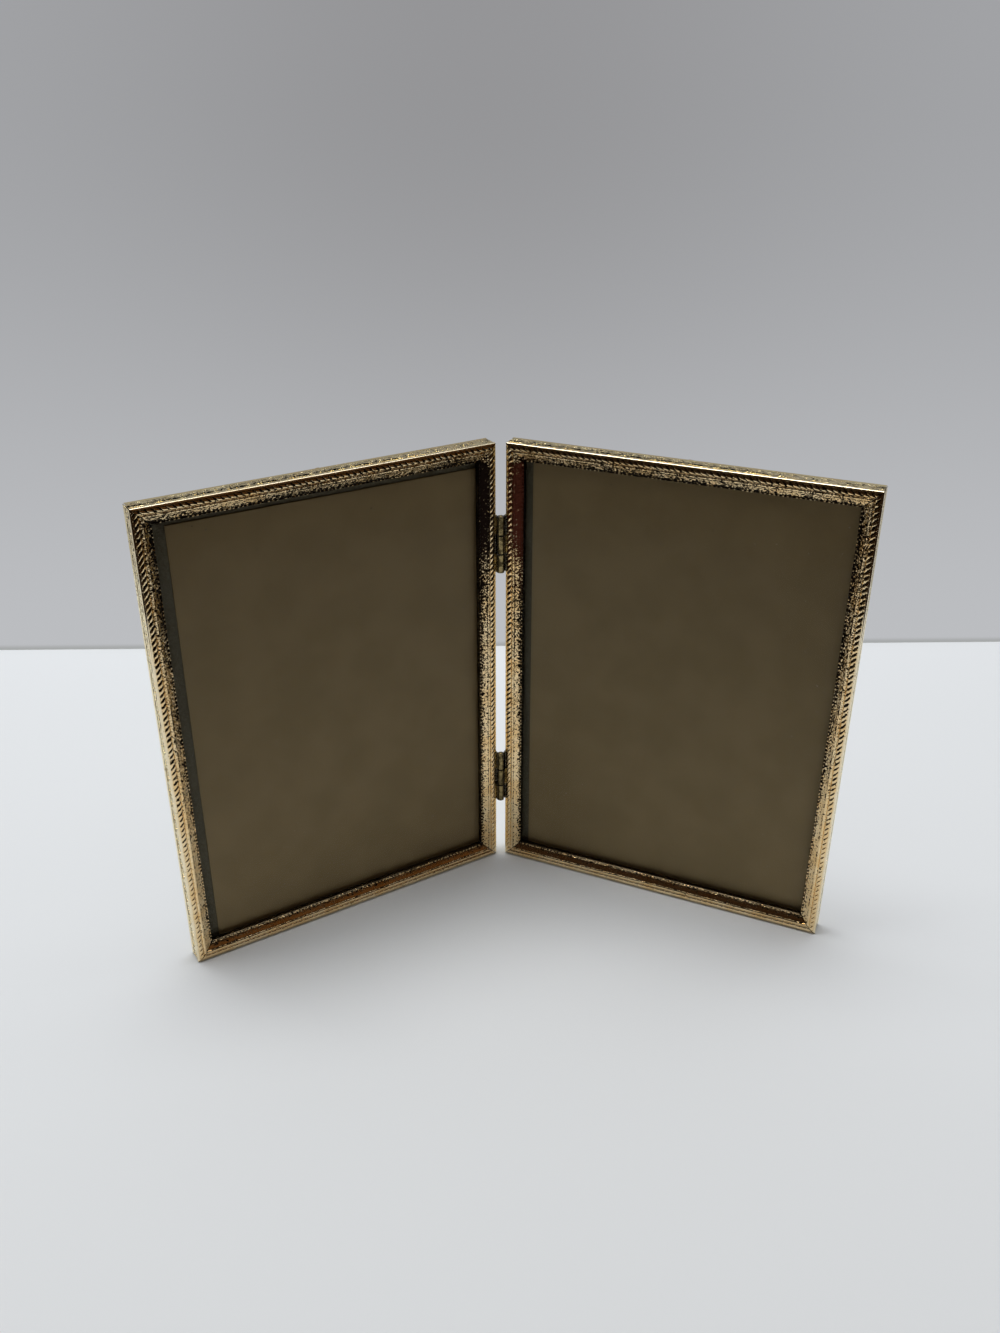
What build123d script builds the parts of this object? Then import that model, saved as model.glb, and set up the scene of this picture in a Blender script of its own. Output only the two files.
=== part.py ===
from build123d import *
import math
import os

# Hinged double photo frame: two embossed metal frames that open like a book.
# Millimetres, +Z up, standing on Z = 0 with the fold opening towards -Y.

# Picture and the layers that lie behind the sight edge, front to back
picture_width = 127.0
picture_height = 177.8
glass_thickness = 1.6
card_thickness = 0.4
board_thickness = 0.9
cover_thickness = 0.7
rebate_clearance = 0.4
board_clearance = 0.3

# The insert cards are cut smaller than the rebate, and have slid to one side of it
left_card_side_slack = 8.1
right_card_side_slack = 5.5
left_card_top_slack = 6.6
right_card_top_slack = 2.2
left_card_lean = 0.3
right_card_lean = 0.0

# Moulding section, formed from strip into a channel with a sloping lip
strip_thickness = 0.6
front_wall = 1.0
channel_width = 4.0
lip_width = 2.9
crest_rise = 4.05
edge_rise = 3.6
edge_radius = 0.6
edge_flat = 0.1
bead_width = 2.0
ridge_width = 1.2
ridge_rise = 0.25
cove_sag = 0.08
lip_root_rise = 2.7
sight_bead_width = 0.8
sight_bead_rise = 2.2

# Corner keys, pushed into the channels from corner to corner
key_arm = 14.0
key_thickness = 1.6
key_clearance = 0.1

# Turn buttons and their rivets, in the middle of each rail and stile
button_thickness = 0.6
button_reach = 6.4
button_margin = 0.1
button_lift = 0.08
finger_lip_height = 1.5
button_rivet_shank = 1.5
button_rivet_head = 2.7
button_rivet_head_rise = 0.6

# Hinges: three knuckles on a pin, with leaves along the facing side walls
open_angle = 125.0
panel_gap = 3.0
fold_clearance = 0.4
hinge_length = 23.0
hinge_from_end = 40.3
knuckle_count = 3
knuckle_end_gap = 0.15
knuckle_wall_gap = 0.12
leaf_thickness = 0.85
leaf_back_margin = 2.6
leaf_rivet_from_end = 4.6
leaf_rivet_shank = 1.4
leaf_rivet_head = 2.4
leaf_rivet_head_rise = 0.15
pin_diameter = 1.2
pin_proud = 0.3

# Rivets in general
rivet_tail_rise = 0.5
rivet_tail_clearance = 0.2
running_clearance = 0.05

# Derived sizes. In a section, u runs inwards from the outer wall, v forwards from the back plane
seat = glass_thickness + card_thickness + board_thickness + cover_thickness
depth = seat + crest_rise
edge_height = seat + edge_rise
rail_width = channel_width + lip_width
rebate_width = picture_width + 2 * rebate_clearance
rebate_height = picture_height + 2 * rebate_clearance
panel_width = rebate_width + 2 * channel_width
panel_height = rebate_height + 2 * channel_width
channel_middle = channel_width / 2
void_width = channel_width - 2 * strip_thickness
rivet_tail = void_width - 2 * rivet_tail_clearance
panel_near = panel_gap / 2
panel_middle = panel_near + panel_width / 2
panel_far = panel_near + panel_width
back_plane = fold_clearance + depth
knuckle_radius = panel_near - knuckle_wall_gap
leaf_near = panel_near - leaf_thickness
leaf_end = back_plane - leaf_back_margin
leaf_notch = knuckle_radius + knuckle_wall_gap
leaf_rivet_depth = (leaf_notch + leaf_end) / 2
hinge_heights = {"lower": hinge_from_end, "upper": panel_height - hinge_from_end}
panel_turn = {"left": 90 - open_angle / 2, "right": open_angle / 2 - 90}

# Where each rail lies in its panel: a rail is drawn as the bottom one, about the middle of its length
rail_seats = {
    "bottom": Pos(panel_middle, back_plane, 0),
    "top": Pos(panel_middle, back_plane, panel_height) * Rot(0, 180, 0),
    "hinge": Pos(panel_near, back_plane, panel_height / 2) * Rot(0, 90, 0),
    "outer": Pos(panel_far, back_plane, panel_height / 2) * Rot(0, -90, 0),
}


def rail_section():
    """Outline of the moulding: outer wall, edge, bead, ridge, cove, sight bead and rebate wall."""
    wall_top = (0, edge_height - edge_radius)
    edge_middle = edge_radius * (1 - math.sqrt(0.5))
    edge_end = (edge_radius, edge_height)
    bead_start = edge_radius + edge_flat
    ridge_start = bead_start + bead_width
    cove_start = ridge_start + ridge_width
    cove_end = rail_width - sight_bead_width
    sight_height = seat + sight_bead_rise
    cove_middle = ((cove_start + cove_end) / 2, (edge_height + sight_height) / 2 - cove_sag)
    sight_crest = (rail_width - sight_bead_width / 2, sight_height + sight_bead_width / 4)
    outline = [
        Line((0, 0), wall_top),
        ThreePointArc(wall_top, (edge_middle, edge_height - edge_middle), edge_end),
        Line(edge_end, (bead_start, edge_height)),
        swell(bead_start, bead_width, depth),
        swell(ridge_start, ridge_width, edge_height + ridge_rise),
        ThreePointArc((cove_start, edge_height), cove_middle, (cove_end, sight_height)),
        ThreePointArc((cove_end, sight_height), sight_crest, (rail_width, sight_height)),
        Polyline(
            (rail_width, sight_height),
            (rail_width, seat),
            (cove_end, seat),
            (channel_width, seat + lip_root_rise),
            (channel_width, 0),
            (0, 0),
        ),
    ]
    void_height = edge_height - front_wall - strip_thickness
    void = Pos(channel_middle, strip_thickness + void_height / 2) * Rectangle(void_width, void_height)
    return make_face(outline) - void


def swell(start, width, crest):
    """A raised round on the front of the section, from one side to the other over its crest."""
    return ThreePointArc((start, edge_height), (start + width / 2, crest), (start + width, edge_height))


def rail(length):
    """A bottom rail along X, its outer wall on Z = 0 and its back on Y = 0, mitred at both ends."""
    end_plane = Plane(origin=(-length / 2, 0, 0), x_dir=(0, 0, 1), z_dir=(1, 0, 0))
    bar = extrude(end_plane * rail_section(), length)
    past = rail_width + edge_radius
    mitre = Polygon(
        (-length / 2, 0),
        (length / 2, 0),
        (length / 2 - past, past),
        (past - length / 2, past),
        align=None,
    )
    mitred = bar & extrude(Plane.XZ.offset(-depth) * mitre, 3 * depth)
    pivot_hole = Cylinder(button_rivet_shank / 2 + running_clearance, 4 * strip_thickness)
    return mitred - Pos(0, 0, channel_middle) * Rot(90, 0, 0) * pivot_hole


def leaf_rivet_places():
    """Heights of the rivets along the hinge stile, and their shared depth."""
    offset = hinge_length / 2 - leaf_rivet_from_end
    heights = [middle + side * offset for middle in hinge_heights.values() for side in (-1, 1)]
    return [Pos(panel_near, leaf_rivet_depth, height) for height in heights]


def hinge_stile():
    """The stile that carries the hinges, with its outer wall drilled for the leaf rivets."""
    stile = rail_seats["hinge"] * rail(panel_height)
    hole = Cylinder(leaf_rivet_shank / 2 + running_clearance, 4 * strip_thickness)
    for place in leaf_rivet_places():
        stile -= place * Rot(0, 90, 0) * hole
    return stile


def corner_keys():
    """Four L-shaped keys that lie on the back wall inside the channels and join the mitres."""
    half_width = void_width / 2 - key_clearance
    first = channel_middle - half_width
    last = channel_middle + half_width
    outline = Polygon(
        (first, first),
        (key_arm, first),
        (key_arm, last),
        (last, last),
        (last, key_arm),
        (first, key_arm),
        align=None,
    )
    key = extrude(Plane.XZ.offset(strip_thickness) * outline, key_thickness)
    corners = [
        Pos(panel_near, back_plane, 0),
        Pos(panel_near, back_plane, panel_height) * Rot(0, 90, 0),
        Pos(panel_far, back_plane, panel_height) * Rot(0, 180, 0),
        Pos(panel_far, back_plane, 0) * Rot(0, 270, 0),
    ]
    return [corner * key for corner in corners]


def layer(width, height, thickness, behind):
    """A flat sheet in the middle of the rebate, its back face at a height above the back plane."""
    middle = Pos(panel_middle, back_plane - behind - thickness / 2, panel_height / 2)
    return middle * Box(width, thickness, height)


def glass():
    """The pane, against the back of the sight edge."""
    return layer(picture_width, picture_height, glass_thickness, seat - glass_thickness)


def insert_card(side):
    """The card behind the glass: it stands on the rebate, slid to the hinge side or the outer side."""
    slide, side_slack, top_slack, lean = {
        "left": (-1, left_card_side_slack, left_card_top_slack, left_card_lean),
        "right": (1, right_card_side_slack, right_card_top_slack, right_card_lean),
    }[side]
    width = rebate_width - side_slack
    height = rebate_height - top_slack
    sway = math.sin(math.radians(lean)) / 2
    across = slide * (side_slack / 2 - board_clearance - height * sway)
    up = board_clearance + width * sway - top_slack / 2
    card = Rot(0, slide * lean, 0) * Box(width, card_thickness, height)
    behind = cover_thickness + board_thickness + card_thickness / 2
    return Pos(panel_middle + across, back_plane - behind, panel_height / 2 + up) * card


def board(thickness, behind):
    """A full board behind the card, trimmed to lift out of the rebate."""
    width = rebate_width - 2 * board_clearance
    height = rebate_height - 2 * board_clearance
    return layer(width, height, thickness, behind)


def dome(radius, height, rise):
    """Profile of a shallow dome, from its rim at a height up to its crown on the axis."""
    sphere = (radius**2 + rise**2) / (2 * rise)
    half_arc = math.asin(radius / sphere) / 2
    middle = (sphere * math.sin(half_arc), height + rise - sphere * (1 - math.cos(half_arc)))
    return ThreePointArc((radius, height), middle, (0, height + rise))


def rivet(shank, head, head_rise, grip):
    """A rivet along Z: domed head above Z = 0, shank through the grip, flat tail below it."""
    half = [
        dome(head / 2, 0, head_rise),
        Polyline(
            (0, head_rise),
            (0, -grip - rivet_tail_rise),
            (rivet_tail / 2, -grip - rivet_tail_rise),
            (rivet_tail / 2, -grip),
            (shank / 2, -grip),
            (shank / 2, 0),
            (head / 2, 0),
        ),
    ]
    return revolve(Plane.XZ * make_face(half), Axis.Z)


def turn_button():
    """A swivel clip behind a rail: round at its rivet, square at the tip, with a raised finger lip."""
    half_width = channel_middle - button_margin
    tip = channel_middle + button_reach
    outline = Pos(0, channel_middle) * Circle(half_width)
    outline += Pos(0, (channel_middle + tip) / 2) * Rectangle(2 * half_width, button_reach)
    outline -= Pos(0, channel_middle) * Circle(button_rivet_shank / 2 + running_clearance)
    face_plane = Plane.XZ.offset(-button_lift)
    plate = extrude(face_plane * outline, -button_thickness)
    lip = Pos(0, tip - button_thickness / 2) * Rectangle(2 * half_width, button_thickness)
    return plate + extrude(face_plane * lip, -finger_lip_height)


def turn_button_rivet():
    """The rivet through a turn button and the back wall, in the rail's own place."""
    grip = button_lift + button_thickness + button_lift + strip_thickness
    body = rivet(button_rivet_shank, button_rivet_head, button_rivet_head_rise, grip)
    return Pos(0, grip - strip_thickness, channel_middle) * Rot(-90, 0, 0) * body


def leaf_rivets():
    """Rivets from the gap through a leaf and the stile's outer wall, tails inside the channel."""
    grip = leaf_thickness + strip_thickness
    body = rivet(leaf_rivet_shank, leaf_rivet_head, leaf_rivet_head_rise, grip)
    return [place * Pos(-leaf_thickness, 0, 0) * Rot(0, -90, 0) * body for place in leaf_rivet_places()]


def hinge_leaf(middle, own):
    """A leaf along the stile's wall with its own knuckles, notched clear of the other leaf's."""
    step = hinge_length / knuckle_count
    foot = middle - hinge_length / 2
    plate_depth = leaf_end - leaf_notch
    leaf = Pos(leaf_near + leaf_thickness / 2, leaf_notch + plate_depth / 2, middle) * Box(
        leaf_thickness, plate_depth, hinge_length
    )
    for index in own:
        low = foot + index * step + (knuckle_end_gap if index > 0 else 0)
        high = foot + (index + 1) * step - (knuckle_end_gap if index < knuckle_count - 1 else 0)
        at = (low + high) / 2
        leaf += Pos(leaf_near + leaf_thickness / 2, leaf_notch / 2, at) * Box(
            leaf_thickness, leaf_notch, high - low
        )
        leaf += Pos(0, 0, at) * Cylinder(knuckle_radius, high - low)
    leaf -= Pos(0, 0, middle) * Cylinder(pin_diameter / 2 + running_clearance, 2 * hinge_length)
    hole = Cylinder(leaf_rivet_shank / 2 + running_clearance, 4 * leaf_thickness)
    for place in leaf_rivet_places():
        leaf -= place * Rot(0, 90, 0) * hole
    return leaf


def hinge_pin(middle):
    """A plain pin through all the knuckles, its domed ends standing a little proud."""
    radius = pin_diameter / 2
    half = [
        dome(radius, hinge_length / 2, pin_proud),
        Polyline((0, hinge_length / 2 + pin_proud), (0, 0), (radius, 0), (radius, hinge_length / 2)),
    ]
    upper_half = revolve(Plane.XZ * make_face(half), Axis.Z)
    return Pos(0, 0, middle) * (upper_half + mirror(upper_half, about=Plane.XY))


def panel(side):
    """All pieces of one panel, with the fold axis on Z and the panel lying along +X."""
    own_knuckles = {
        "left": range(0, knuckle_count, 2),
        "right": range(1, knuckle_count, 2),
    }[side]
    pieces = {
        "bottom_rail": rail_seats["bottom"] * rail(panel_width),
        "top_rail": rail_seats["top"] * rail(panel_width),
        "outer_stile": rail_seats["outer"] * rail(panel_height),
        "hinge_stile": hinge_stile(),
        "corner_keys": corner_keys(),
        "glass": glass(),
        "insert_card": insert_card(side),
        "backing_board": board(board_thickness, cover_thickness),
        "back_cover": board(cover_thickness, 0),
        "turn_button_rivets": [seat_place * turn_button_rivet() for seat_place in rail_seats.values()],
        "hinge_rivets": leaf_rivets(),
    }
    for rail_side, seat_place in rail_seats.items():
        pieces[rail_side + "_turn_button"] = seat_place * turn_button()
    for level, middle in hinge_heights.items():
        pieces[level + "_hinge_leaf"] = hinge_leaf(middle, own_knuckles)
    return pieces


def stand_open(shape, side):
    """Swing a piece from the flat drawing to its panel's place in the open fold."""
    own_side = mirror(shape, about=Plane.YZ) if side == "left" else shape
    return Rot(0, 0, panel_turn[side]) * own_side


def gather(shapes):
    """One node for a set of like pieces, each still a solid of its own."""
    return Compound(children=[shape.solid() for shape in shapes])


# Both panels at rest, about the fold axis
nodes = {}
for side in ("left", "right"):
    for name, piece in panel(side).items():
        if isinstance(piece, list):
            nodes[side + "_" + name] = [stand_open(one, side) for one in piece]
        else:
            nodes[side + "_" + name] = [stand_open(piece, side)]
for level, middle in hinge_heights.items():
    nodes[level + "_hinge_pin"] = [hinge_pin(middle)]

# The origin is under the middle of the standing object
boxes = [shape.bounding_box() for shapes in nodes.values() for shape in shapes]
middle_x = (min(box.min.X for box in boxes) + max(box.max.X for box in boxes)) / 2
middle_y = (min(box.min.Y for box in boxes) + max(box.max.Y for box in boxes)) / 2
centring = Pos(-middle_x, -middle_y, -min(box.min.Z for box in boxes))

os.makedirs("parts", exist_ok=True)
for name, shapes in nodes.items():
    placed = [centring * shape for shape in shapes]
    export_step(placed[0] if len(placed) == 1 else gather(placed), "parts/" + name + ".step")

# Places that the record needs, in millimetres
print("fold axis", centring.position)
for side in ("left", "right"):
    for rail_side, seat_place in rail_seats.items():
        pivot = (seat_place * Pos(0, 0, channel_middle)).position
        across = -pivot.X if side == "left" else pivot.X
        swung = centring * Rot(0, 0, panel_turn[side]) * Pos(across, pivot.Y, pivot.Z)
        print(side, rail_side, "button pivot", swung.position)
    rest = -panel_middle if side == "left" else panel_middle
    underside = centring * Rot(0, 0, panel_turn[side]) * Pos(rest, back_plane - edge_height / 2, 0)
    print(side, "underside", underside.position)
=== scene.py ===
import math
import bpy
from mathutils import Matrix, Vector


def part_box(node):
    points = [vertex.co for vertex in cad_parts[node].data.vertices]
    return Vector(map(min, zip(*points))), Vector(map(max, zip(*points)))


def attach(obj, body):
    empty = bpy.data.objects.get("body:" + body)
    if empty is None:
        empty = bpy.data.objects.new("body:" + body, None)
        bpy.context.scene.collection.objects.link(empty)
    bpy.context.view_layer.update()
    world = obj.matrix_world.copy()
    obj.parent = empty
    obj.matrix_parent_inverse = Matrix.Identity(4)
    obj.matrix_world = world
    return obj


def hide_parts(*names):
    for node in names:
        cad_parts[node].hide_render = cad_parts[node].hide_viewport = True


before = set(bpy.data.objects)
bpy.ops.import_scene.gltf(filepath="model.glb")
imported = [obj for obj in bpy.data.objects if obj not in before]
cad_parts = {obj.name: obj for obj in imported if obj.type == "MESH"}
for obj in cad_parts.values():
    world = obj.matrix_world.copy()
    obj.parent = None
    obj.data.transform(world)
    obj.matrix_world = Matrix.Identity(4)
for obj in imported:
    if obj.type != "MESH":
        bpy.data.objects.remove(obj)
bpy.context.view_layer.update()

# The moulding. Eight lengths of thin brass strip, roll-formed to one section and washed with gold:
# a sunk frieze on the outer wall, then on the front a rope, a ridge, a cove and a beaded sight edge.
# The ends are mitred, and keys inside the channel hold the corners.
MM = 0.001
HANDS = {"left": -1, "right": 1}
PANEL_WIDTH = 135.8
PANEL_HEIGHT = 186.6
PANEL_NEAR = 1.5
BACK_PLANE = 8.05
PANEL_TURN = math.radians(27.5)
RAIL_WIDTH = 6.9
SEAT = 3.6
MITRE_GAP = 0.22

pin_low, pin_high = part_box("lower_hinge_pin")
fold_axis = Vector(((pin_low[0] + pin_high[0]) / 2, (pin_low[1] + pin_high[1]) / 2, 0))
panel_middle = PANEL_NEAR + PANEL_WIDTH / 2
panel_far = PANEL_NEAR + PANEL_WIDTH


def start_mesh(name, add, **settings):
    """Add a primitive with nothing else selected, name it and open it for editing."""
    bpy.ops.object.select_all(action="DESELECT")
    add(**settings)
    made = bpy.context.object
    made.name = made.data.name = name
    bpy.ops.object.mode_set(mode="EDIT")
    bpy.ops.mesh.select_mode(type="VERT")
    bpy.ops.mesh.select_all(action="SELECT")
    return made


def cut_away(point, normal, fill=True):
    """Cut the mesh being edited at a plane, and drop what lies on the side the normal points to."""
    bpy.ops.mesh.select_all(action="SELECT")
    bpy.ops.mesh.bisect(plane_co=point, plane_no=normal, use_fill=fill, clear_outer=True)


def cut_mitres(length):
    """Mitre both ends of what is being edited, with half of the fine open joint at each."""
    reach = (length / 2 - MITRE_GAP) * MM
    cut_away((-reach, 0, 0), (-1, 0, 1))
    cut_away((reach, 0, 0), (1, 0, 1))


def close_rim(skirt=0):
    """Close the open rim of what is being edited with one face, behind a skirt if it has one."""
    bpy.ops.mesh.select_all(action="DESELECT")
    bpy.ops.mesh.select_non_manifold()
    if skirt:
        bpy.ops.mesh.extrude_edges_move(TRANSFORM_OT_translate={"value": (0, skirt * MM, 0)})
    bpy.ops.mesh.edge_face_add()


def close_mesh():
    """Merge doubles, turn the faces outwards and leave edit mode."""
    bpy.ops.mesh.select_all(action="SELECT")
    bpy.ops.mesh.remove_doubles(threshold=1e-7)
    bpy.ops.mesh.normals_make_consistent(inside=False)
    bpy.ops.object.mode_set(mode="OBJECT")


def repeat(piece, pitch, count):
    """A row of like shapes along X about the middle, applied and left open for editing."""
    row = piece.modifiers.new("row", "ARRAY")
    row.use_relative_offset = False
    row.use_constant_offset = True
    row.constant_offset_displace = (pitch * MM, 0, 0)
    row.count = count
    bpy.ops.object.modifier_apply(modifier=row.name)
    bpy.ops.object.mode_set(mode="EDIT")
    bpy.ops.mesh.select_all(action="SELECT")
    bpy.ops.transform.translate(value=(-pitch * (count - 1) / 2 * MM, 0, 0))


def select_only(pieces):
    """Select some pieces and nothing else, with the first of them active."""
    bpy.ops.object.select_all(action="DESELECT")
    for piece in pieces:
        piece.select_set(True)
    bpy.context.view_layer.objects.active = pieces[0]


# The strip's section, in points inwards from the outer wall and forwards from the back plane
FRIEZE_GROUND = 0.16
FRIEZE_BACK = 0.7
FRIEZE_FRONT = 6.1
EDGE_ARC = ((0.0854, 6.8671), (0.176, 7.024), (0.3329, 7.1146))
ROPE_EDGE = 7.2
ROPE_SEAT = 7.12
RIDGE_ARC = ((2.72, ROPE_EDGE), (3.3, 7.45), (3.86, 7.2))
COVE_ARC = ((4.0, 7.04), (5.05, 6.36), (6.1, 5.8))
BEAD_FOOT = 5.55
BEAD_SEAT = BEAD_FOOT + 0.1


def arc(start, middle, end, steps):
    """Points after start, up to end, on the circle through three points of the section."""
    (ax, ay), (bx, by), (cx, cy) = start, middle, end
    twice_area = 2 * (ax * (by - cy) + bx * (cy - ay) + cx * (ay - by))
    a2, b2, c2 = ax * ax + ay * ay, bx * bx + by * by, cx * cx + cy * cy
    centre_x = (a2 * (by - cy) + b2 * (cy - ay) + c2 * (ay - by)) / twice_area
    centre_y = (a2 * (cx - bx) + b2 * (ax - cx) + c2 * (bx - ax)) / twice_area
    radius = math.hypot(ax - centre_x, ay - centre_y)
    first = math.atan2(ay - centre_y, ax - centre_x)
    last = math.atan2(cy - centre_y, cx - centre_x)
    turn = (last - first + math.pi) % (2 * math.pi) - math.pi
    angles = [first + turn * step / steps for step in range(1, steps + 1)]
    return [(centre_x + radius * math.cos(angle), centre_y + radius * math.sin(angle)) for angle in angles]


back_edge = [(0.1, 0), (0, 0.1), (0, 0.25)]
sunk_wall = [(FRIEZE_GROUND, FRIEZE_BACK + 0.6), (FRIEZE_GROUND, FRIEZE_FRONT), (0, FRIEZE_FRONT + 0.15)]
outer_edge = [(0, 6.548), EDGE_ARC[0], *arc(*EDGE_ARC, 6)]
rope_seat = [(0.68, ROPE_EDGE), (0.7, ROPE_SEAT), (2.7, ROPE_SEAT)]
ridge = [RIDGE_ARC[0], *arc(*RIDGE_ARC, 8), (3.9, 7.06)]
cove = [COVE_ARC[0], *arc(*COVE_ARC, 6)]
sight_edge = [(6.2, BEAD_SEAT), (6.8, BEAD_SEAT), (RAIL_WIDTH, 5.45), (RAIL_WIDTH, SEAT)]
channel = [(6.1, SEAT), (4.0, 6.3), (4.0, 0.2), (3.8, 0)]
section = back_edge + sunk_wall + outer_edge + rope_seat + ridge + cove + sight_edge + channel


def formed_strip(length):
    """The plain section drawn through point by point, closed and pulled out to its length."""
    strip = start_mesh("strip", bpy.ops.mesh.primitive_plane_add, size=MM)
    bpy.ops.mesh.merge(type="CENTER")
    bpy.ops.transform.translate(value=(-length / 2 * MM, -section[0][1] * MM, section[0][0] * MM))
    for (inwards, forwards), (next_inwards, next_forwards) in zip(section, section[1:]):
        step = (0, (forwards - next_forwards) * MM, (next_inwards - inwards) * MM)
        bpy.ops.mesh.extrude_vertices_move(TRANSFORM_OT_translate={"value": step})
    bpy.ops.mesh.select_all(action="SELECT")
    bpy.ops.mesh.edge_face_add()
    bpy.ops.mesh.extrude_region_move(TRANSFORM_OT_translate={"value": (length * MM, 0, 0)})
    cut_mitres(length)
    close_mesh()
    return strip


# The rope, whose grooves are worn shallow on the bottom rails
ROPE_MIDDLE = 1.7
ROPE_WIDTH = 2.0
ROPE_PITCH = 2.27
ROPE_CREST = 7.65
ROPE_CROWN = 0.625
ROPE_FULLNESS = 0.45
ROPE_ROUNDNESS = 0.9
ROPE_SKIRT = 0.15
CRISP_GROOVE = 0.25
WORN_GROOVE = 0.75


def rope(length, groove):
    """The twisted bead: one slanted lobe pressed up from a sheet, steeper inside, repeated and closed."""
    lobe = start_mesh("rope", bpy.ops.mesh.primitive_grid_add, x_subdivisions=10, y_subdivisions=8, size=1)
    bpy.ops.object.mode_set(mode="OBJECT")
    for corner in lobe.data.vertices:
        along, across, _ = corner.co
        swell = groove + (1 - groove) * max(0, math.cos(math.pi * along)) ** ROPE_FULLNESS
        rise = across + 0.5
        flank = rise / ROPE_CROWN if rise < ROPE_CROWN else (1 - rise) / (1 - ROPE_CROWN)
        arch = math.sin(math.pi / 2 * flank) ** ROPE_ROUNDNESS
        forwards = ROPE_EDGE + (ROPE_CREST - ROPE_EDGE) * arch * swell
        slant = along * ROPE_PITCH - across * ROPE_WIDTH
        corner.co = Vector((slant, -forwards, ROPE_MIDDLE + across * ROPE_WIDTH)) * MM
    repeat(lobe, ROPE_PITCH, 2 * math.ceil(length / ROPE_PITCH / 2) + 1)
    bpy.ops.mesh.remove_doubles(threshold=1e-6)
    close_rim(ROPE_SKIRT)
    cut_mitres(length)
    close_mesh()
    return lobe


# The beads along the sight edge
SIGHT_MIDDLE = 6.5
BEAD_PITCH = 1.55
BEAD_HALF_LENGTH = 0.6
BEAD_HALF_WIDTH = 0.36
BEAD_RISE = 0.44


def sight_beads(length):
    """A row of small oval beads along the sight edge, ending inside the mitres."""
    bead = start_mesh("beads", bpy.ops.mesh.primitive_uv_sphere_add, segments=10, ring_count=4, radius=MM)
    bpy.ops.transform.resize(value=(BEAD_HALF_LENGTH, BEAD_RISE, BEAD_HALF_WIDTH))
    cut_away((0, 0, 0), (0, 1, 0), fill=False)
    close_rim()
    bpy.ops.mesh.select_all(action="SELECT")
    bpy.ops.transform.translate(value=(0, -BEAD_FOOT * MM, SIGHT_MIDDLE * MM))
    bpy.ops.object.mode_set(mode="OBJECT")
    clear_length = length - 2 * RAIL_WIDTH - BEAD_PITCH
    repeat(bead, BEAD_PITCH, int(clear_length / BEAD_PITCH) + 1)
    close_mesh()
    return bead


# The running scroll on the outer walls, flattened to a low relief
SCROLL_PITCH = 11.3
SCROLL_FLATNESS = 0.08
SCROLL_PROUD = 0.02
WIRE_RADIUS = 0.34
WIRE_START = 1.15
WIRE_TAPER = 0.65
STEM_STEPS = 6
STEM_SWING = 2.1
CURL_STEPS = 14
CURL_START = 200
CURL_TURN = 36
CURL_RADIUS = 2.0
CURL_SHRINK = 1.55
CURL_LIFT = 0.35
LEAF_POINTS = ((2.1, -1.0), (3.0, 0.6), (2.6, 1.7), (2.0, 2.2))


def scroll_line(points):
    """A round wire along points of the frieze, thinner to its curled end, made into a mesh."""
    bpy.ops.object.select_all(action="DESELECT")
    bpy.ops.curve.primitive_nurbs_path_add()
    wire = bpy.context.object
    wire.data.bevel_depth = WIRE_RADIUS * MM
    wire.data.bevel_resolution = 1
    wire.data.resolution_u = 2
    spline = wire.data.splines[0]
    spline.points.add(len(points) - len(spline.points))
    for index, (along, forwards) in enumerate(points):
        spline.points[index].co = (along * MM, -forwards * MM, FRIEZE_GROUND * MM, 1)
        spline.points[index].radius = WIRE_START - WIRE_TAPER * index / len(points)
    spline.order_u = 3
    spline.use_endpoint_u = True
    bpy.ops.object.convert(target="MESH")
    return bpy.context.object


def frieze(length):
    """A running vine in low relief: a waving stem with a curl in each wave, alternately up and down."""
    middle = (FRIEZE_BACK + FRIEZE_FRONT) / 2
    count = round(length / SCROLL_PITCH)
    pitch = length / count
    lines = []
    for side in (-1, 1):
        wave = side * pitch / 4
        stem = []
        for step in range(STEM_STEPS + 1):
            along = step / STEM_STEPS
            swing = STEM_SWING * math.sin(math.pi * along)
            stem.append((wave + (along - 0.5) * pitch / 2, middle - side * swing))
        curl = []
        for step in range(CURL_STEPS + 1):
            angle = math.radians(CURL_START + CURL_TURN * step)
            radius = CURL_RADIUS - CURL_SHRINK * step / CURL_STEPS
            lift = CURL_LIFT + radius * math.sin(angle)
            curl.append((wave + side * radius * math.cos(angle), middle + side * lift))
        leaf = [(wave + side * along, middle + side * up) for along, up in LEAF_POINTS]
        lines += [scroll_line(stem), scroll_line(curl), scroll_line(leaf)]
    select_only(lines)
    bpy.ops.object.join()
    vine = bpy.context.object
    bpy.ops.object.mode_set(mode="EDIT")
    bpy.ops.mesh.select_all(action="SELECT")
    bpy.ops.transform.resize(value=(1, 1, SCROLL_FLATNESS), center_override=(0, 0, FRIEZE_GROUND * MM))
    cut_away((0, 0, (FRIEZE_GROUND + SCROLL_PROUD) * MM), (0, 0, 1))
    bpy.ops.object.mode_set(mode="OBJECT")
    repeat(vine, pitch, count)
    cut_mitres(length)
    close_mesh()
    return vine


def link(tree, out_socket, in_socket):
    """Join two sockets of a material."""
    tree.links.new(out_socket, in_socket)


def new_finish(name):
    """An empty finish: its node tree, its shader and its Object coordinates."""
    finish = bpy.data.materials.new(name)
    finish.use_nodes = True
    tree = finish.node_tree
    shader = tree.nodes["Principled BSDF"]
    coords = tree.nodes.new("ShaderNodeTexCoord").outputs["Object"]
    return finish, tree, shader, coords


def axes(tree, coords):
    """The X, Y and Z of a place, one by one."""
    split = tree.nodes.new("ShaderNodeSeparateXYZ")
    link(tree, coords, split.inputs["Vector"])
    return split.outputs["X"], split.outputs["Y"], split.outputs["Z"]


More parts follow.
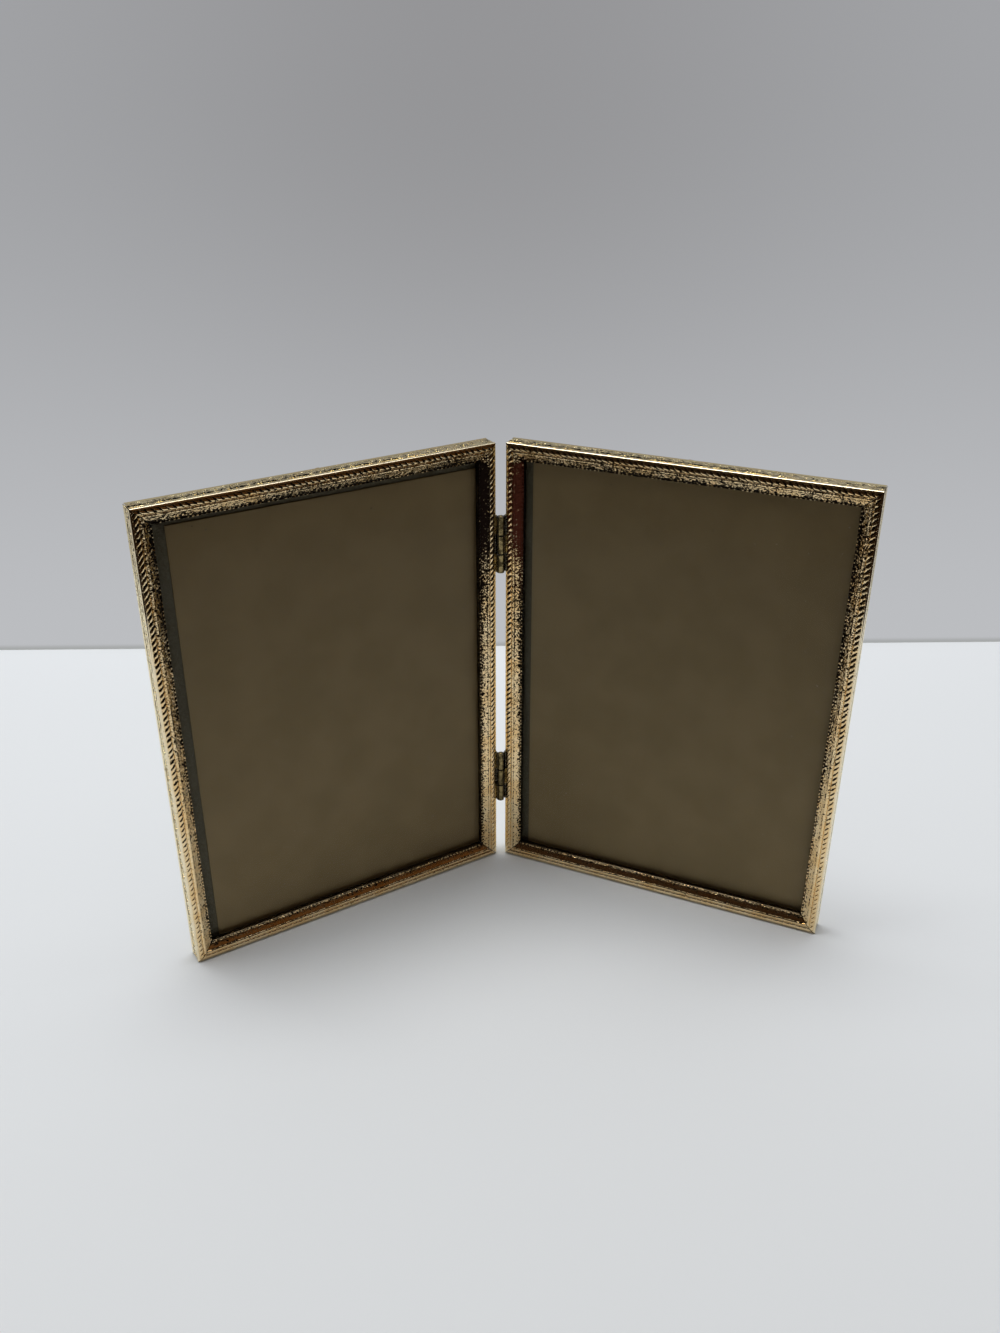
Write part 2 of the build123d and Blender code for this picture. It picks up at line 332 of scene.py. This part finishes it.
def noise(tree, coords, scale, detail, distortion=0.0):
    """Cloudy grain at a scale in cycles per metre."""
    grain = tree.nodes.new("ShaderNodeTexNoise")
    grain.inputs["Scale"].default_value = scale
    grain.inputs["Detail"].default_value = detail
    grain.inputs["Distortion"].default_value = distortion
    link(tree, coords, grain.inputs["Vector"])
    return grain.outputs["Fac"]


def spread(tree, value, low, high, to_low=0.0, to_high=1.0):
    """A value between two limits, eased out to another range."""
    ease = tree.nodes.new("ShaderNodeMapRange")
    ease.interpolation_type = "SMOOTHSTEP"
    ease.inputs["From Min"].default_value = low
    ease.inputs["From Max"].default_value = high
    ease.inputs["To Min"].default_value = to_low
    ease.inputs["To Max"].default_value = to_high
    link(tree, value, ease.inputs["Value"])
    return ease.outputs["Result"]


def reckon(tree, operation, *values):
    """One step of arithmetic on sockets and plain numbers."""
    step = tree.nodes.new("ShaderNodeMath")
    step.operation = operation
    for socket, value in zip(step.inputs, values):
        if isinstance(value, float):
            socket.default_value = value
        else:
            link(tree, value, socket)
    return step.outputs["Value"]


def times(tree, first, second):
    """The product of two values."""
    return reckon(tree, "MULTIPLY", first, second)


def plus(tree, first, second):
    """The sum of two values."""
    return reckon(tree, "ADD", first, second)


def tint(tree, amount, first, second):
    """A colour that goes from one to the other with an amount."""
    mix = tree.nodes.new("ShaderNodeMix")
    mix.data_type = "RGBA"
    link(tree, amount, mix.inputs["Factor"])
    for socket, colour in ((mix.inputs["A"], first), (mix.inputs["B"], second)):
        if isinstance(colour, tuple):
            socket.default_value = (*colour, 1)
        else:
            link(tree, colour, socket)
    return mix.outputs["Result"]


def bump(tree, shader, height, distance):
    """Relief of a height in metres from a value."""
    relief = tree.nodes.new("ShaderNodeBump")
    relief.inputs["Distance"].default_value = distance
    link(tree, height, relief.inputs["Height"])
    link(tree, relief.outputs["Normal"], shader.inputs["Normal"])


# The gold wash and its tarnish, which is heavier high up and in patches, with painted shade in some recesses
# and a painted dark reflection on the hinge stiles' tops
COVE_PAINTED_SHADE = 0.3
BEAD_DIRT = 0.6
WEAR_HEIGHT = (0.015, 0.18)
FOLD_REACH = (0.008, 0.03)
# Painted dark reflection on the hinge stiles' tops: its height, its top just below the corner, its reach from
# the fold, and its tones on the left and right stiles
TOP_REFLECTION_HEIGHT = (0.118, 0.165)
TOP_REFLECTION_END = (0.1775, 0.1805)
TOP_REFLECTION_REACH = (0.009, 0.013)
CLEAN_HEIGHT = (0.2, 0.5)
FLECK_LIMITS = (1.27, 1.41)
FLECK_ROUGHNESS = 0.45
STILE_TOP_REFLECTION = ((0.018, 0.011, 0.008), (0.105, 0.030, 0.017))


def mark_recess(part, depth):
    """Keep how deep each corner lies, from 0 on a crest to 1 in a groove, for the tarnish and the painted shade
    to settle in.
    """
    recess = part.data.attributes.new("recess", "FLOAT", "POINT")
    for corner in part.data.vertices:
        along, backwards, inwards = corner.co / MM
        recess.data[corner.index].value = depth(along, inwards, -backwards)


def strip_depth(along, inwards, forwards):
    """Deep under the rope, less so under the beads and beside the ridge, and deeper down the cove; the band
    under the beads and the darkening down the cove are painted shade.
    """
    cove_top, _, cove_foot = (inwards_at for inwards_at, _ in COVE_ARC)
    if 0.69 < inwards < 2.71 and 7.0 < forwards < 7.15:
        return 1.0
    # Painted shade: a dark band along the bead bed under the sight edge
    if 6.15 < inwards < 6.85 and forwards > 5.5:
        return 0.5
    if 3.88 < inwards < 4.02 and forwards < 7.1:
        return 0.3
    # Painted shade, growing down the cove towards the sight edge
    if cove_top < inwards < 6.15 and forwards > 5.75:
        return COVE_PAINTED_SHADE * ((inwards - cove_top) / (cove_foot - cove_top)) ** 1.5
    return 0.0


def rope_depth(along, inwards, forwards):
    """Deep in the grooves between the lobes, fading out at both edges of the rope."""
    across = (inwards - ROPE_MIDDLE) / ROPE_WIDTH
    turn = (along + inwards - ROPE_MIDDLE) / ROPE_PITCH
    return abs(2 * (turn - round(turn))) ** 2.2 * (1 - (2 * across) ** 4)


def bead_depth(along, inwards, forwards):
    """Deep round the foot of each bead and clean on its crown."""
    return BEAD_DIRT * (1 - (forwards - BEAD_FOOT) / BEAD_RISE)


def gold_wash(name, bright, deep, dark, wear, low, polish, relief, top_reflection=None):
    """Gold wash over embossed brass, with tarnish in ragged flecks where it is handled and recessed, painted
    shade in some recesses, and thicker flecks on the hinge stiles' tops as a painted dark reflection, tinted
    there when tones are given.
    """
    finish, tree, shader, coords = new_finish(name)
    across, _, height = axes(tree, coords)
    from_fold = reckon(tree, "ABSOLUTE", across)
    by_height = spread(tree, height, *WEAR_HEIGHT, 0.2, 1.2)
    by_fold = spread(tree, from_fold, *FOLD_REACH, 0.95, 0.8)
    patches = spread(tree, noise(tree, coords, 45, 2.0), 0.34, 0.56, 0.45, 1.15)
    rubbed = times(tree, times(tree, by_height, by_fold), patches)
    # Painted dark reflection: the hinge stiles' tops, up to just below the corner, get thicker dark flecks
    high_up = spread(tree, height, *TOP_REFLECTION_HEIGHT, 0.0, 1.3)
    below_corner = spread(tree, height, *TOP_REFLECTION_END, 1.0, 0.0)
    on_stile = spread(tree, from_fold, *TOP_REFLECTION_REACH, 1.0, 0.0)
    painted_top_reflection = times(tree, times(tree, high_up, below_corner), on_stile)
    handled_and_top_reflection = times(tree, plus(tree, rubbed, painted_top_reflection), wear)
    recess = tree.nodes.new("ShaderNodeAttribute")
    recess.attribute_name = "recess"
    # The recess darkening is mostly tarnish in the hollows; along the bead bed and down the cove it is painted
    # shade
    tarnish_and_shade_in_recesses = times(tree, recess.outputs["Fac"], spread(tree, by_height, *CLEAN_HEIGHT, low, 1.0))
    fleck_cover = plus(tree, handled_and_top_reflection, tarnish_and_shade_in_recesses)
    grain = noise(tree, coords, 1300, 3.0, 0.8)
    worn = spread(tree, plus(tree, times(tree, grain, 2.0), fleck_cover), *FLECK_LIMITS)
    tone = tint(tree, spread(tree, noise(tree, coords, 140, 3.0), 0.35, 0.7), bright, deep)
    fleck_and_reflection_tone = dark
    # Painted dark reflection: these tones tint the flecks on the hinge stiles' tops, near-black on the left
    # stile and maroon on the right
    if top_reflection:
        by_side = spread(tree, across, -MM, MM)
        fleck_and_reflection_tone = tint(tree, painted_top_reflection, dark, tint(tree, by_side, *top_reflection))
    link(tree, tint(tree, worn, tone, fleck_and_reflection_tone), shader.inputs["Base Color"])
    link(tree, spread(tree, worn, 0.0, 1.0, polish, FLECK_ROUGHNESS), shader.inputs["Roughness"])
    shader.inputs["Metallic"].default_value = 1.0
    curls = noise(tree, coords, 560, 2.0, 1.6)
    crispness = spread(tree, by_height, *CLEAN_HEIGHT, 0.3, 1.0)
    bump(tree, shader, times(tree, spread(tree, curls, 0.3, 0.7), crispness), relief)
    return finish


bright_gold = gold_wash(
    "gold_wash", bright=(0.93, 0.73, 0.43), deep=(0.85, 0.59, 0.28), dark=(0.012, 0.008, 0.005),
    wear=0.26, low=1.0, polish=0.10, relief=0.00010, top_reflection=STILE_TOP_REFLECTION
)
rope_gold = gold_wash(
    "rope_gold", bright=(0.93, 0.73, 0.43), deep=(0.85, 0.59, 0.28), dark=(0.010, 0.007, 0.004),
    wear=0.05, low=0.1, polish=0.10, relief=0.00002, top_reflection=STILE_TOP_REFLECTION
)
rubbed_gold = gold_wash(
    "rubbed_gold", bright=(0.95, 0.82, 0.58), deep=(0.92, 0.76, 0.48), dark=(0.70, 0.57, 0.36),
    wear=0.10, low=0.2, polish=0.08, relief=0.000002
)
toned_gold = gold_wash(
    "toned_gold", bright=(0.95, 0.81, 0.46), deep=(0.88, 0.71, 0.39), dark=(0.50, 0.38, 0.20),
    wear=0.15, low=0.2, polish=0.12, relief=0.000008
)
# Dark in the mitre joints; on the sight wall the darkness is partly the wall's own and partly painted shade
dark_gold = gold_wash(
    "dark_gold", bright=(0.10, 0.075, 0.045), deep=(0.05, 0.036, 0.020), dark=(0.012, 0.008, 0.005),
    wear=0.20, low=0.2, polish=0.25, relief=0.000002
)


def lay_gold(strip):
    """Flecked gold, toned behind and in the frieze, rubbed on the edge, dark in the mitres, and dark on the
    sight wall partly as painted shade.
    """
    finishes = [bright_gold, toned_gold, rubbed_gold, dark_gold]
    for finish in finishes:
        strip.data.materials.append(finish)
    for face in strip.data.polygons:
        inwards = face.center.z / MM
        forwards = -face.center.y / MM
        in_frieze = inwards < FRIEZE_GROUND + 0.01 and forwards < FRIEZE_FRONT + 0.2
        finish = bright_gold
        if abs(face.normal.x) > 0.5:
            finish = dark_gold
        elif forwards < 0.3 or in_frieze:
            finish = toned_gold
        elif inwards < 0.69 and forwards > FRIEZE_FRONT:
            finish = rubbed_gold
        # Partly painted shade: the sight wall is near-black
        elif inwards > 6.8 and forwards < BEAD_FOOT:
            finish = dark_gold
        face.material_index = finishes.index(finish)


def moulding(length, groove):
    """One finished length, lying as a bottom rail about its middle, its rope crisp or worn."""
    strip = formed_strip(length)
    lay_gold(strip)
    mark_recess(strip, strip_depth)
    twist = rope(length, groove)
    twist.data.materials.append(rope_gold)
    darkening = (1 - groove) / (1 - CRISP_GROOVE)
    mark_recess(twist, lambda *place: darkening * rope_depth(*place))
    beads = sight_beads(length)
    beads.data.materials.append(bright_gold)
    mark_recess(beads, bead_depth)
    vine = frieze(length)
    vine.data.materials.append(toned_gold)
    for part, crease in ((strip, 25), (twist, 50), (beads, 60), (vine, 60)):
        select_only([part])
        bpy.ops.object.shade_smooth_by_angle(angle=math.radians(crease))
    select_only([strip, twist, beads, vine])
    bpy.ops.object.join()
    return bpy.context.object


def set_down(piece, side, place):
    """Apply a piece's place in its panel and the panel's place in the open fold."""
    turn = PANEL_TURN if side == "left" else -PANEL_TURN
    piece.matrix_world = Matrix.Translation(fold_axis) @ Matrix.Rotation(turn, 4, "Z") @ place
    select_only([piece])
    bpy.ops.object.transform_apply(location=True, rotation=True, scale=True)


def rail_place(across, up, turn):
    """Where a rail goes in the panel's own frame, turned to its side of the panel."""
    move = Matrix.Translation(Vector((across, BACK_PLANE, up)) * MM)
    return move @ Matrix.Rotation(math.radians(turn), 4, "Y")


worn_moulding = moulding(PANEL_WIDTH, WORN_GROOVE)
short_moulding = moulding(PANEL_WIDTH, CRISP_GROOVE)
long_moulding = moulding(PANEL_HEIGHT, CRISP_GROOVE)
for side, hand in HANDS.items():
    rails = {
        "bottom_rail": (worn_moulding, rail_place(hand * panel_middle, 0, 0)),
        "top_rail": (short_moulding, rail_place(hand * panel_middle, PANEL_HEIGHT, 180)),
        "hinge_stile": (long_moulding, rail_place(hand * PANEL_NEAR, PANEL_HEIGHT / 2, hand * 90)),
        "outer_stile": (long_moulding, rail_place(hand * panel_far, PANEL_HEIGHT / 2, -hand * 90)),
    }
    for rail_name, (pattern, place) in rails.items():
        rail = pattern.copy()
        rail.data = pattern.data.copy()
        rail.name = rail.data.name = side + "_gold_" + rail_name
        bpy.context.collection.objects.link(rail)
        set_down(rail, side, place)
        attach(rail, side + "_panel")
        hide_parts(side + "_" + rail_name)
for pattern in (worn_moulding, short_moulding, long_moulding):
    bpy.data.objects.remove(pattern)


# The glass. One clear pane in each panel, a millimetre and a half of float glass with ground arrises, held
# against the back of the sight edge. A few specks of dust lie on it, and it has the faintest sheen.
GLASS_WIDTH = 127.0
GLASS_HEIGHT = 177.8
GLASS_THICKNESS = 1.55
GLASS_ARRIS = 0.25
DUST_SHOWS = 0.35


def clear_glass():
    """Clear glass: it shows what lies behind it, mirrors a little at its face and carries dust."""
    finish, tree, shader, coords = new_finish("clear_glass")
    cells = tree.nodes.new("ShaderNodeTexVoronoi")
    cells.inputs["Scale"].default_value = 120
    link(tree, coords, cells.inputs["Vector"])
    dust = spread(tree, cells.outputs["Distance"], 0.015, 0.05, 1.0, 0.0)
    link(tree, tint(tree, dust, (0.95, 0.97, 0.95), (0.60, 0.55, 0.46)), shader.inputs["Base Color"])
    link(tree, spread(tree, dust, 0.0, 1.0, 1.0, 0.0), shader.inputs["Metallic"])
    link(tree, spread(tree, dust, 0.0, 1.0, 0.12, 0.9), shader.inputs["Roughness"])
    face = tree.nodes.new("ShaderNodeFresnel")
    face.inputs["IOR"].default_value = 1.10
    seen = reckon(tree, "MAXIMUM", face.outputs["Fac"], times(tree, dust, DUST_SHOWS))
    through = tree.nodes.new("ShaderNodeBsdfTransparent")
    mix = tree.nodes.new("ShaderNodeMixShader")
    link(tree, seen, mix.inputs["Fac"])
    link(tree, through.outputs["BSDF"], mix.inputs[1])
    link(tree, shader.outputs["BSDF"], mix.inputs[2])
    link(tree, mix.outputs["Shader"], tree.nodes["Material Output"].inputs["Surface"])
    return finish


glass_finish = clear_glass()
glass_depth = BACK_PLANE - SEAT + GLASS_THICKNESS / 2
for side, hand in HANDS.items():
    pane = start_mesh(side + "_glass_pane", bpy.ops.mesh.primitive_cube_add, size=MM)
    bpy.ops.transform.resize(value=(GLASS_WIDTH, GLASS_THICKNESS, GLASS_HEIGHT))
    bpy.ops.mesh.bevel(offset=GLASS_ARRIS * MM, segments=1, affect="EDGES")
    close_mesh()
    pane.data.materials.append(glass_finish)
    middle = Vector((hand * panel_middle, glass_depth, PANEL_HEIGHT / 2)) * MM
    set_down(pane, side, Matrix.Translation(middle))
    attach(pane, side + "_panel")
    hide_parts(side + "_glass")


# The insert card. A thin olive-brown card behind each glass, cut smaller than the opening and
# slid to one side, with the faint cloudiness of uncoated paper stock.
def give(node, finish):
    """Lay a finish on a CAD node in place of its plain one."""
    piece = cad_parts[node]
    piece.data.materials.clear()
    piece.data.materials.append(finish)


def brown_card():
    """Uncoated card with soft clouds of tone and a fine tooth."""
    finish, tree, shader, coords = new_finish("brown_card")
    clouds = spread(tree, noise(tree, coords, 60, 4.0), 0.3, 0.7)
    tone = tint(tree, clouds, (0.300, 0.222, 0.104), (0.338, 0.252, 0.122))
    link(tree, tone, shader.inputs["Base Color"])
    shader.inputs["Roughness"].default_value = 0.85
    bump(tree, shader, noise(tree, coords, 700, 3.0), 0.00001)
    return finish


card_finish = brown_card()
for side in HANDS:
    give(side + "_insert_card", card_finish)


# The boards. A grey-green strawboard presses the card to the glass, and a thin board covered in
# dark flocked paper closes the back. Both are held in the rebate by the turn buttons.
def grey_board():
    """Grey-green strawboard with short fibres."""
    finish, tree, shader, coords = new_finish("grey_board")
    fibres = spread(tree, noise(tree, coords, 900, 5.0, 0.6), 0.35, 0.65)
    tone = tint(tree, fibres, (0.115, 0.104, 0.064), (0.140, 0.126, 0.080))
    link(tree, tone, shader.inputs["Base Color"])
    shader.inputs["Roughness"].default_value = 0.9
    bump(tree, shader, fibres, 0.00004)
    return finish


def flocked_cover():
    """Dark flocked paper: a short nap that lies in slightly different directions."""
    finish, tree, shader, coords = new_finish("flocked_cover")
    nap = noise(tree, coords, 2600, 3.0)
    lay = spread(tree, noise(tree, coords, 35, 3.0), 0.35, 0.7)
    ground = tint(tree, lay, (0.030, 0.022, 0.018), (0.052, 0.040, 0.032))
    tone = tint(tree, spread(tree, nap, 0.4, 0.7), ground, (0.075, 0.060, 0.050))
    link(tree, tone, shader.inputs["Base Color"])
    shader.inputs["Roughness"].default_value = 0.95
    shader.inputs["Sheen Weight"].default_value = 0.35
    shader.inputs["Sheen Roughness"].default_value = 0.5
    bump(tree, shader, nap, 0.00012)
    return finish


board_finish = grey_board()
cover_finish = flocked_cover()
for side in HANDS:
    give(side + "_backing_board", board_finish)
    give(side + "_back_cover", cover_finish)


# The hinges, turn buttons, rivets and keys. Dark antique brass for the hinges and their rivets, lighter
# stamped brass for the turn buttons and theirs, and plain steel corner keys hidden in the channels.
# Painted shade: darker down both sides of the hinge barrels, with dark seams between the knuckles
BARREL_SIDE = (0.0007, 0.0011)
BARREL_END = (0.0014, 0.0016)
SEAM_SHARES = (1 / 3, 2 / 3)
SEAM_REACH = 0.00035
SHADE_AND_SEAM_TONE = (0.018, 0.014, 0.009)


def barrel_shade_and_seams(tree, coords):
    """Painted shade down both sides of the hinge barrels, and dark seams between their knuckles."""
    across, _, height = axes(tree, coords)
    from_fold = reckon(tree, "ABSOLUTE", across)
    darkening = spread(tree, from_fold, *BARREL_SIDE)
    for level in ("lower", "upper"):
        low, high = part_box("left_" + level + "_hinge_leaf")
        for share in SEAM_SHARES:
            seam = low[2] + share * (high[2] - low[2])
            darkening = plus(tree, darkening, reckon(tree, "COMPARE", height, seam, SEAM_REACH))
    return times(tree, spread(tree, from_fold, *BARREL_END, 1.0, 0.0), darkening)


def plain_metal(name, light, dark, polish, rough, shading_and_seams=None):
    """Drawn or stamped metal with fine mill lines, a little tarnish, and, where it has them, painted shade and
    dark seams.
    """
    finish, tree, shader, coords = new_finish(name)
    stain = spread(tree, noise(tree, coords, 420, 4.0, 0.4), 0.38, 0.66)
    tone = tint(tree, stain, light, dark)
    # Painted shade beside the hinge barrels, and dark seams between the knuckles
    if shading_and_seams:
        tone = tint(tree, shading_and_seams(tree, coords), tone, SHADE_AND_SEAM_TONE)
    link(tree, tone, shader.inputs["Base Color"])
    link(tree, spread(tree, stain, 0.0, 1.0, polish, rough), shader.inputs["Roughness"])
    shader.inputs["Metallic"].default_value = 1.0
    bump(tree, shader, noise(tree, coords, 2400, 2.0), 0.00002)
    return finish


# The hinge brass carries painted shade down the barrel sides
hinge_brass = plain_metal("hinge_brass", (0.36, 0.28, 0.13), (0.09, 0.068, 0.032), 0.10, 0.3, barrel_shade_and_seams)
button_brass = plain_metal("button_brass", (0.62, 0.46, 0.22), (0.38, 0.26, 0.11), 0.24, 0.45)
key_steel = plain_metal("key_steel", (0.46, 0.46, 0.45), (0.33, 0.33, 0.33), 0.3, 0.5)
for level in ("lower", "upper"):
    give(level + "_hinge_pin", hinge_brass)
    for side in HANDS:
        give(side + "_" + level + "_hinge_leaf", hinge_brass)
for side in HANDS:
    give(side + "_hinge_rivets", hinge_brass)
    give(side + "_turn_button_rivets", button_brass)
    give(side + "_corner_keys", key_steel)
    for rail_side in ("bottom", "top", "hinge", "outer"):
        give(side + "_" + rail_side + "_turn_button", button_brass)


# The set. A round white table, a grey wall behind it that glows with painted shade and shows only its front, a
# dark screen round the front that glows as a painted reflection for the metal to mirror, two soft lamps above
# and behind, and a pale room with a light ceiling.
TABLE_RADIUS = 0.45
TABLE_BACK = 0.09
WALL_DEPTH = 0.2308
WALL_TURN = math.radians(2.85)
WALL_HEIGHT = 0.42
WALL_WIDTH = 1.3
SCREEN_RADIUS = 1.2
SCREEN_FOOT = -0.6
SCREEN_TOP = 2.1
SCREEN_BACK = 0.2


def show_glow(tree, tone, clear):
    """Let a set piece glow in a tone, and be clear to the rays that are marked."""
    glow = tree.nodes.new("ShaderNodeEmission")
    link(tree, tone, glow.inputs["Color"])
    through = tree.nodes.new("ShaderNodeBsdfTransparent")
    mix = tree.nodes.new("ShaderNodeMixShader")
    link(tree, clear, mix.inputs["Fac"])
    link(tree, glow.outputs["Emission"], mix.inputs[1])
    link(tree, through.outputs["BSDF"], mix.inputs[2])
    link(tree, mix.outputs["Shader"], tree.nodes["Material Output"].inputs["Surface"])


table = start_mesh(
    "table", bpy.ops.mesh.primitive_circle_add, vertices=96, radius=TABLE_RADIUS, fill_type="NGON"
)
bpy.ops.transform.translate(value=(0, TABLE_BACK, 0))
bpy.ops.object.mode_set(mode="OBJECT")
table_white, tree, shader, coords = new_finish("table_white")
shader.inputs["Base Color"].default_value = (0.775, 0.80, 0.82, 1)
shader.inputs["Roughness"].default_value = 0.6
shader.inputs["Specular IOR Level"].default_value = 0.2
table.data.materials.append(table_white)

wall = start_mesh("wall", bpy.ops.mesh.primitive_plane_add, size=1)
bpy.ops.transform.resize(value=(WALL_WIDTH, WALL_HEIGHT, 1))
bpy.ops.transform.rotate(value=math.radians(-90), orient_axis="X", center_override=(0, 0, 0))
bpy.ops.transform.rotate(value=WALL_TURN, orient_axis="Z", center_override=(0, 0, 0))
bpy.ops.transform.translate(value=(0, WALL_DEPTH, WALL_HEIGHT / 2))
bpy.ops.object.mode_set(mode="OBJECT")
wall_grey, tree, shader, coords = new_finish("wall_grey")
# The wall glows in painted tones: painted shade darker across its top and lighter towards the sides, and a
# painted shadow line along its foot
across, _, height = axes(tree, coords)
sideways = spread(tree, reckon(tree, "ABSOLUTE", across), 0.0, 0.28)
high_wall = tint(tree, sideways, (0.30, 0.30, 0.31), (0.36, 0.365, 0.38))
# Painted shadow: a darker line along the wall's foot
low_wall = tint(tree, spread(tree, height, 0.0005, 0.004), (0.38, 0.39, 0.39), (0.50, 0.51, 0.53))
wall_tone = tint(tree, spread(tree, height, 0.0, 0.30), low_wall, high_wall)
path = tree.nodes.new("ShaderNodeLightPath")
geometry = tree.nodes.new("ShaderNodeNewGeometry")
clear = reckon(tree, "MAXIMUM", path.outputs["Is Shadow Ray"], geometry.outputs["Backfacing"])
show_glow(tree, wall_tone, clear)
wall.data.materials.append(wall_grey)

screen_height = SCREEN_TOP - SCREEN_FOOT
screen = start_mesh(
    "screen", bpy.ops.mesh.primitive_cylinder_add,
    vertices=64, radius=SCREEN_RADIUS, depth=screen_height, end_fill_type="NOTHING"
)
bpy.ops.transform.translate(value=(0, 0, SCREEN_FOOT + screen_height / 2))
cut_away((0, SCREEN_BACK, 0), (0, 1, 0), fill=False)
bpy.ops.object.mode_set(mode="OBJECT")
screen_brown, tree, shader, coords = new_finish("screen_brown")
# Painted reflection: the screen glows near-black at its foot, warm brown in a band above the table and browner
# to the right, dark again higher up and pale at the top, and the camera and shadow rays pass through it
across, _, height = axes(tree, coords)
brown = tint(tree, spread(tree, across, -0.5, 0.2), (0.030, 0.017, 0.010), (0.09, 0.046, 0.020))
low_screen = tint(tree, spread(tree, height, 0.15, 0.58), (0.018, 0.011, 0.007), brown)
high_screen = tint(tree, spread(tree, height, 0.65, 0.82), low_screen, (0.015, 0.010, 0.006))
screen_tone = tint(tree, spread(tree, height, 1.27, SCREEN_TOP), high_screen, (0.62, 0.62, 0.62))
path = tree.nodes.new("ShaderNodeLightPath")
clear = reckon(tree, "MAXIMUM", path.outputs["Is Shadow Ray"], path.outputs["Is Camera Ray"])
show_glow(tree, screen_tone, clear)
screen.data.materials.append(screen_brown)

room = bpy.data.worlds.new("room")
bpy.context.scene.world = room
room.use_nodes = True
tree = room.node_tree
path = tree.nodes.new("ShaderNodeLightPath")
seen = plus(tree, path.outputs["Is Camera Ray"], path.outputs["Is Glossy Ray"])
seen = plus(tree, seen, path.outputs["Is Transmission Ray"])
around = tint(tree, seen, (0.015, 0.010, 0.006), (0.50, 0.51, 0.52))
_, _, upwards = axes(tree, tree.nodes.new("ShaderNodeTexCoord").outputs["Generated"])
ceiling = tint(tree, spread(tree, upwards, 0.70, 0.92), around, (0.76, 0.76, 0.76))
link(tree, ceiling, tree.nodes["Background"].inputs["Color"])


def soft_lamp(name, place, width, depth, power):
    """A soft rectangular lamp that hangs level, facing down."""
    bpy.ops.object.light_add(type="AREA", location=place)
    lamp = bpy.context.object
    lamp.name = name
    lamp.data.shape = "RECTANGLE"
    lamp.data.size = width
    lamp.data.size_y = depth
    lamp.data.energy = power


soft_lamp("top_lamp", (-0.42, 0.27, 2.40), width=1.35, depth=0.95, power=33)
soft_lamp("side_lamp", (0.75, 0.38, 2.40), width=0.9, depth=0.9, power=7)

# The camera, a phone held above and in front of the table, a little to the left.
CAMERA_PLACE = (-0.02922, -0.39621, 0.31746)
CAMERA_TARGET = (-0.00030, 0.02772, 0.09322)
CAMERA_LENS = 31.999
CAMERA_SENSOR = 36

bpy.ops.object.camera_add(location=CAMERA_PLACE)
camera = bpy.context.object
camera.data.lens = CAMERA_LENS
camera.data.sensor_fit = "VERTICAL"
camera.data.sensor_height = CAMERA_SENSOR
camera.data.clip_start = 0.01
gaze = Vector(CAMERA_TARGET) - camera.location
camera.rotation_euler = gaze.to_track_quat("-Z", "Y").to_euler()
bpy.context.scene.camera = camera
bpy.context.scene.view_settings.view_transform = "Standard"
